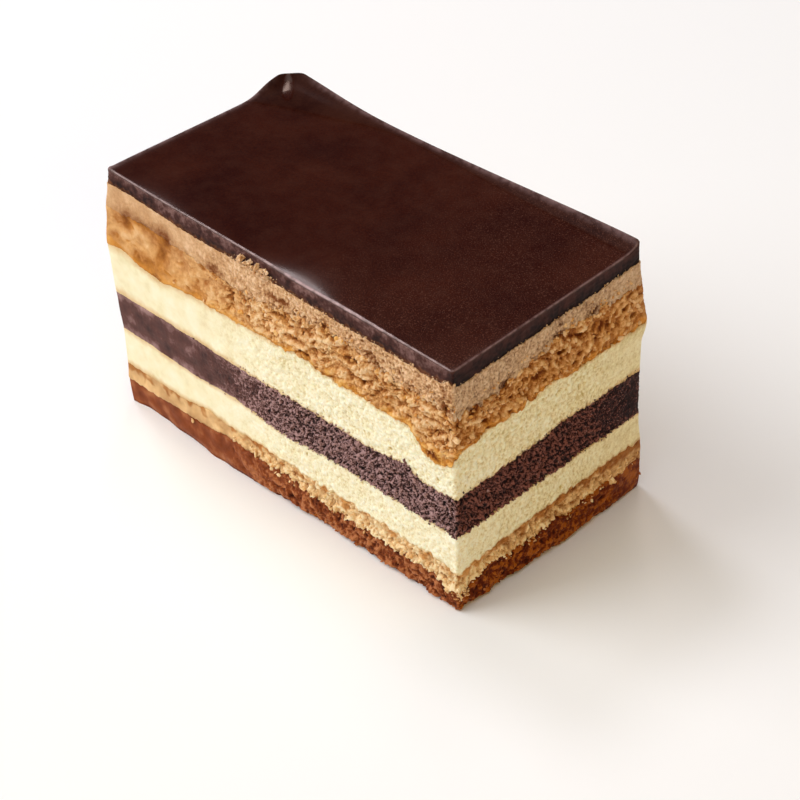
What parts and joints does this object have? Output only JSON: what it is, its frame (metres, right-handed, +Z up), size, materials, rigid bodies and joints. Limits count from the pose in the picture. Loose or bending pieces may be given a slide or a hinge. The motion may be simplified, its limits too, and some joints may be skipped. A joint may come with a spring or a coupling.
{
  "type": "opera cake",
  "caption": "Rectangular bar of layered opera cake with soaked sponge, pale cream, coffee buttercream and a glossy chocolate glaze, for a plate or a pastry counter.",
  "frame": {"origin": "middle of the bar's underside, the bottom centre of its bounding box", "axes": "+Z up; +X along the long side, towards the end with the two knife-cut corners; +Y from the knife-cut long face to the long face that stood against the baking frame"},
  "size_m": [0.0681, 0.0367, 0.0417],
  "materials": {
    "chocolate_glaze": "smooth glossy dark chocolate glaze",
    "coffee_buttercream": "satin coffee buttercream, dragged by the knife",
    "coffee_soaked_sponge": "torn moist crumb, darker towards its lower edge",
    "pale_cream": "satin pale cream with small crumbs dragged into it",
    "chocolate_sponge": "fine dry chocolate crumb",
    "tan_sponge": "fine open tan crumb",
    "soaked_base_sponge": "dense soaked brown crumb"
  },
  "bodies": {
    "root": {"glaze": "chocolate_glaze", "coffee_cream": "coffee_buttercream", "coffee_sponge": "coffee_soaked_sponge", "upper_cream": "pale_cream", "cocoa_sponge": "chocolate_sponge", "lower_cream": "pale_cream", "plain_sponge": "tan_sponge", "base_sponge": "soaked_base_sponge"}
  },
  "joints": []
}
